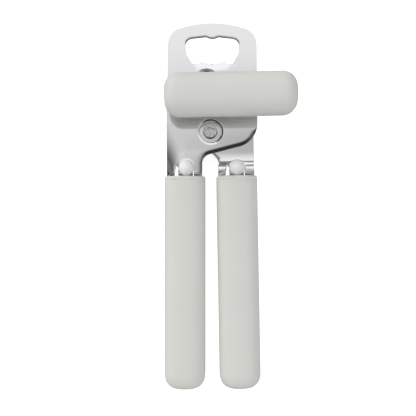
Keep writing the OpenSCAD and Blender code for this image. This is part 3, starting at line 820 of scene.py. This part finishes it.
def make_feed_wheel():
    teeth, r, depth, land = 22, 8.1, 0.9, 0.16
    pts = [(r, -land), (r, land), (r - depth, 0.5)]
    turns = [(q, 2 * math.pi * (i + s) / teeth) for i in range(teeth) for q, s in pts]
    loop = np.array([(q * math.cos(a), q * math.sin(a)) for q, a in turns])
    z0, z1 = low_mm("feed_wheel"), high_mm("feed_wheel")

    def low(p, rim):
        taper = np.maximum(0, np.hypot(p[:, 0], p[:, 1]) - (r - 0.6)) * 1.1
        return z0 + taper + quarter(rim.d, 0.15)

    verts, faces = sheet(loop, [double_d()], lambda p, rim: z1 - quarter(rim.d, 0.15), low,
                         (0, 0.05, 0.15), marks=[circle(r - 0.6, (0, 0), 0.5), circle(5.2)])
    finish_piece("feed_wheel_toothed", moved(verts, CRANK), faces, "feed_wheel", WHEEL, 30)


def make_nut():
    r = 4.6
    loop = rounded([(r * math.cos(math.pi / 3 * i), r * math.sin(math.pi / 3 * i), 0.25)
                    for i in range(6)], 0.5)
    z0, z1 = low_mm("feed_wheel_nut"), high_mm("feed_wheel_nut")

    def low(p, rim):
        return z0 + np.maximum(0, np.hypot(p[:, 0], p[:, 1]) - 3.9) * 0.55 + quarter(rim.d, 0.1)

    verts, faces = sheet(loop, [circle(2.5)], lambda p, rim: z1 - quarter(rim.d, 0.1), low,
                         (0, 0.05, 0.1), marks=[circle(3.9), circle(3.3)], grid=0.8)
    finish_piece("feed_nut_hex", moved(verts, CRANK), faces, "feed_wheel_nut", FASTENER, 30)


BUTTON_R, BUTTON_FOOT_R, BUTTON_SHIFT = 3.55, 4.05, 0.4
DENTS, DENT_R, DENT_DEPTH = 60, 0.42, 0.08


def make_rivet():
    """Pivot rivet: a flange in its seat, and a peened button, a little off centre, in a fine ring."""
    lo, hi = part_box("pivot_rivet")
    seat = FRONT_TOP - SEAT_DEPTH
    flange = seat + 0.8
    button = hi.z / MM
    tail_low, tail_top = lo.z / MM, low_mm("pivot_back_washer")
    profile = [(0, tail_low, 0), (7.5, tail_low, 0.6), (7.5, tail_top, 0.15), (4.5, tail_top, 0.05),
               (4.5, seat, 0.05), (FLANGE_R, seat, 0.1), (FLANGE_R, flange, 0.22),
               (4.3, flange + 0.02, 0.3), (4.15, flange - 0.08, 0.1), (BUTTON_FOOT_R, flange - 0.08, 0.08),
               (BUTTON_R, button - 0.06, 0.3), (1.5, button, 1), (0, button, 0)]
    verts, faces = lathe(profile, 120, 0.22)
    rng = np.random.default_rng(5)
    dents = rng.uniform(-3.1, 3.1, (DENTS, 2))
    rho = np.hypot(verts[:, 0], verts[:, 1])
    on_button = (verts[:, 2] > flange + 0.05) & (rho < 3.3)
    shift = np.clip((BUTTON_FOOT_R - rho) / (BUTTON_FOOT_R - BUTTON_R), 0, 1)
    verts[:, 1] += BUTTON_SHIFT * shift * (verts[:, 2] > flange - 0.1)
    for dx, dy in dents:
        rho = np.hypot(verts[:, 0] - dx, verts[:, 1] - dy)
        verts[:, 2] -= DENT_DEPTH * np.exp(-(rho / DENT_R) ** 2) * on_button
    rivet = finish_piece("pivot_rivet_formed", moved(verts, PIVOT), faces, "pivot_rivet", LEVER, 60)
    rivet.data.materials.append(RIVET)
    for face in rivet.data.polygons:
        centre = np.array(face.center) / MM
        if centre[2] > flange - 0.1 and math.hypot(*(centre[:2] - PIVOT)) < 3.6:
            face.material_index = 1


def make_shaft():
    low, top = low_mm("crank_shaft"), high_mm("crank_shaft")
    collar = high_mm("crank_thrust_washer")
    feed = low_mm("feed_wheel")
    make_turned("crank_shaft_turned", "crank_shaft", CRANK, [
        (0, low, 0), (2.5, low, 0.4), (2.5, feed, 0.1), (2.6, feed, 0.05), (2.6, GEAR_TOP, 0.1),
        (4, GEAR_TOP, 0.2), (4, collar, 0.1), (6, collar, 0.3), (6, collar + 2.4, 0.5),
        (4, collar + 2.4, 0.6), (4, top, 0.5), (0, top, 0)], TURNED)


def make_bushing():
    lo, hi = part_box("crank_bushing")
    make_turned("crank_bush_flanged", "crank_bushing", CRANK, [
        (4.05, lo.z / MM, 0.15), (4.8, lo.z / MM, 0.2), (4.8, FRONT_TOP, 0.05), (6.8, FRONT_TOP, 0.15),
        (6.8, hi.z / MM, 0.35), (4.05, hi.z / MM, 0.2)], TURNED)


def make_cutter_axle():
    """Stud whose spread end fills the countersink of the back plate, under the window."""
    low = low_mm("cutter_axle")
    verts, faces = lathe([
        (0, low + 4, 0), (1.5, low + 4, 0.1), (1.5, low, 0.15), (3, low, 0.3), (3, GEAR_TOP + 0.03, 0.1),
        (4.6, GEAR_TOP + 0.03, 0.1), (4.6, BACK_LOW, 0.1), (3.4, BACK_LOW, 0.1), (3.4, BACK_TOP - 0.8, 0.1),
        (4.25, BACK_TOP - 0.8, 0.1), (4.25, BACK_TOP - 0.2, 0.3), (2.4, BACK_TOP - 0.1, 0.3),
        (2.1, BACK_TOP - 0.3, 0.3), (0, BACK_TOP - 0.35, 0)], 96, 0.35)
    finish_piece("cutter_axle_stud", moved(verts, AXLE), faces, "cutter_axle", RIVET, 45)


def make_cutting_wheel():
    z0, z1 = low_mm("cutting_wheel"), high_mm("cutting_wheel")
    r = 10.5
    make_turned("cutting_wheel_disc", "cutting_wheel", AXLE, [
        (3.05, z0, 0.15), (5.6, z0, 0.3), (5.9, z0 + 0.25, 0.2), (7.6, z0 + 0.25, 0.3), (r, z1 - 0.15, 0.03),
        (r, z1, 0.03), (3.05, z1, 0.1)], BLADE, 0.5)


def make_screw():
    """Slotted cheese-head screw in the end of the cutter axle."""
    z0, z1 = low_mm("cutter_screw"), high_mm("cutter_screw")
    head = low_mm("cutter_washer")
    slot_half, slot_depth = 0.6, 0.8
    r = 4.4

    def low(p, rim):
        slot = slot_depth * (1 - smooth(np.abs(p[:, 1]), slot_half - 0.03, slot_half + 0.03))
        return z0 + slot + quarter(rim.d, 0.35)

    def top(p, rim):
        return np.where(np.hypot(p[:, 0], p[:, 1]) < 1.49, z1, head)

    lines = [np.array([(-5, y), (5, y), (5, y + 0.001), (-5, y + 0.001)]) for y in
             (-slot_half - 0.03, -slot_half + 0.03, slot_half - 0.03, slot_half + 0.03)]
    verts, faces = sheet(circle(r), [], top, low, (0, 0.05, 0.15, 0.35),
                         marks=[circle(1.48, step=0.3), circle(1.5, step=0.3), *lines])
    finish_piece("cutter_screw_slotted", moved(verts, AXLE), faces, "cutter_screw", FASTENER, 30)


def make_core():
    """Steel bar inside the knob, with its hub and the bore for the shaft."""
    lo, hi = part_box("knob_core")
    half, r = 27.0, 7.0
    a = math.asin(2.5 / r)
    arc = np.linspace(a, math.pi - a, 24)
    top = np.stack([r * np.cos(arc), r * np.sin(arc)], 1)
    loop = np.concatenate([[(half, 2.5)], top, [(-half, 2.5), (-half, -2.5)], -top, [(half, -2.5)]])
    verts, faces = slab(loop, [circle(4.0)], lo.z / MM, hi.z / MM, 0.3)
    finish_piece("knob_core_bar", moved(verts, CRANK, turn=KNOB_TURN), faces, "knob_core", CORE, 30)


def make_pin():
    """Cross pin through the core and the shaft, lying along Y."""
    lo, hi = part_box("knob_cross_pin")
    r, half = (hi.z - lo.z) / 2 / MM, (hi.y - lo.y) / 2 / MM
    verts, faces = lathe([(0, -half, 0), (r, -half, 0.3), (r, half, 0.3), (0, half, 0)], 48)
    verts = verts[:, [0, 2, 1]] * [1, 1, -1]
    finish_piece("knob_pin_turned", moved(verts, CRANK, (lo.z + hi.z) / 2 / MM, KNOB_TURN), faces,
                 "knob_cross_pin", TURNED, 30)


make_front_plate()
make_back_plate()
make_grip("left_grip_sleeve", "left_grip", FRONT_TANG_X + 0.25, FRONT_TANG_X, 0)
make_grip("right_grip_sleeve", "right_grip", BACK_TANG_X + 0.15, BACK_TANG_X, REST_SPLAY)
make_knob_shell()
make_knob_base()
make_core()
make_pin()
make_rivet()
make_shaft()
make_bushing()
make_cutter_axle()
make_cutting_wheel()
make_screw()
make_feed_wheel()
make_nut()
make_gear("drive_gear_toothed", "drive_gear", CRANK, double_d(), AXLE_DIR)
make_gear("cutter_gear_toothed", "cutter_gear", AXLE, circle(3.05), AXLE_DIR + math.pi + math.pi / GEAR_TEETH)
make_ring("pivot_spacer", "pivot_spacer_washer", PIVOT, WASHER)
make_ring("pivot_back_ring", "pivot_back_washer", PIVOT, WASHER)
make_ring("cutter_retainer", "cutter_washer", AXLE, WASHER)
make_ring("crank_thrust_ring", "crank_thrust_washer", CRANK, WASHER)
make_ring("drive_spacer", "drive_washer", CRANK, WASHER)
make_ring("rim_collar", "cutter_collar", AXLE, WHEEL, 0.2)


# ---------------------------------------------------------------- stage, light, camera

FLOOR_DROP, FLOOR_GLOW = 0.0005, 0.7
COVE = [(0, 0), (1.2, 0), (1.45, 0.04), (1.65, 0.15), (1.82, 0.35), (1.93, 0.65), (1.97, 1.1), (1.98, 1.9)]


def make_floor():
    """A pale floor that turns up into a pale wall all round, far from the part."""
    n = 64
    z0 = CAD_BOX[0].z - FLOOR_DROP
    verts, faces = [(0, 0, z0)], []
    for r, z in COVE[1:]:
        verts += [(r * math.cos(2 * math.pi * i / n), r * math.sin(2 * math.pi * i / n), z0 + z)
                  for i in range(n)]
    faces += [(0, 1 + i, 1 + (i + 1) % n) for i in range(n)]
    for k in range(len(COVE) - 2):
        a, b = 1 + k * n, 1 + (k + 1) * n
        faces += [(a + i, b + i, b + (i + 1) % n, a + (i + 1) % n) for i in range(n)]
    mesh = bpy.data.meshes.new("floor")
    mesh.from_pydata(verts, [], faces)
    mesh.shade_smooth()
    mat, _, shader = new_material("floor_paper", (0.9, 0.9, 0.9), 0.0, 0.95)
    shader.inputs["Specular IOR Level"].default_value = 0.0
    shader.inputs["Emission Color"].default_value = (1, 1, 1, 1)
    shader.inputs["Emission Strength"].default_value = FLOOR_GLOW
    mesh.materials.append(mat)
    floor = bpy.data.objects.new("floor", mesh)
    bpy.context.scene.collection.objects.link(floor)
    floor.visible_shadow = False
    floor.visible_glossy = False
    floor.visible_diffuse = False


def ramp(tree, value, x0, x1, y0, y1):
    """A smooth step of value between x0 and x1."""
    return add(tree, "ShaderNodeMapRange",
               {"Value": value, "From Min": x0, "From Max": x1, "To Min": y0, "To Max": y1},
               interpolation_type="SMOOTHSTEP").outputs["Result"]


def times(tree, *values):
    out = values[0]
    for value in values[1:]:
        out = add(tree, "ShaderNodeMath", {0: out, 1: value}, operation="MULTIPLY").outputs[0]
    return out


def make_world():
    """What polished steel mirrors: bright beyond the opener's head, dark low on the other sides,
    with a little light just over the horizon for views from the side."""
    world = bpy.data.worlds.new("studio")
    bpy.context.scene.world = world
    world.use_nodes = True
    world.cycles_visibility.diffuse = False
    tree = world.node_tree
    sky = tree.nodes["Background"]
    where = add(tree, "ShaderNodeTexCoord").outputs["Generated"]
    xyz = add(tree, "ShaderNodeSeparateXYZ", {"Vector": where})
    x, y, z = (xyz.outputs[k] for k in "XYZ")
    side = add(tree, "ShaderNodeMath", {0: x}, operation="ABSOLUTE").outputs[0]
    over = ramp(tree, x, -0.06, 0.06, 0.71, 0.53)
    far = ramp(tree, y, 0.09, 0.21, 0.0, 1.0)
    beyond = ramp(tree, y, 0.2, 0.5, 0.98, 1.12)
    lifted = add(tree, "ShaderNodeMix", {"Factor": far, "A": over, "B": beyond}).outputs["Result"]
    horizon = times(tree, ramp(tree, z, 0.05, 0.15, 0.0, 0.2), ramp(tree, z, 0.44, 0.52, 1.0, 0.0))
    level = times(tree, lifted, ramp(tree, side, 0.25, 1.0, 1.0, 0.10), ramp(tree, y, -0.15, -0.7, 1.0, 0.07),
                  ramp(tree, z, 0.1, -0.3, 1.0, 0.3))
    level = add(tree, "ShaderNodeMath", {0: level, 1: horizon}, operation="MAXIMUM").outputs[0]
    tree.links.new(level, sky.inputs["Strength"])
    sky.inputs["Color"].default_value = (1, 1, 1.003, 1)


def make_sun(name, towards, angle, strength):
    """Broad soft light that fills matt surfaces and leaves no glint on the steel."""
    light = bpy.data.lights.new(name, "SUN")
    light.angle, light.energy = math.radians(angle), strength
    obj = bpy.data.objects.new(name, light)
    obj.rotation_euler = Vector(towards).to_track_quat("Z", "Y").to_euler()
    obj.visible_glossy = False
    bpy.context.scene.collection.objects.link(obj)


CAMERA_HEIGHT, CAMERA_LENS = 467, 69.7
CAMERA_OVER = (-1.4, -44.1)


def make_camera():
    """Looks straight down, with the photograph's perspective."""
    cam = bpy.data.cameras.new("camera")
    cam.sensor_width, cam.lens = 36.0, CAMERA_LENS
    cam.clip_start = 0.01
    obj = bpy.data.objects.new("camera", cam)
    over = PIVOT + CAMERA_OVER
    obj.location = (over[0] * MM, over[1] * MM, (FRONT_TOP + CAMERA_HEIGHT) * MM)
    bpy.context.scene.collection.objects.link(obj)
    bpy.context.scene.camera = obj


# Name, direction, angular size in degrees and strength
SUNS = [("dome", (0, 0, 1), 170, 1.55),
        ("key", (-0.75, 0.5, 0.4), 80, 1.75),
        ("front", (0.2, -0.85, 0.3), 90, 0.75),
        ("side", (0.95, 0.1, 0.1), 100, 0.75),
        ("under", (-0.1, 0.1, -1), 150, 2.0)]

make_floor()
make_world()
for sun in SUNS:
    make_sun(*sun)
make_camera()
bpy.context.scene.view_settings.view_transform = "Standard"
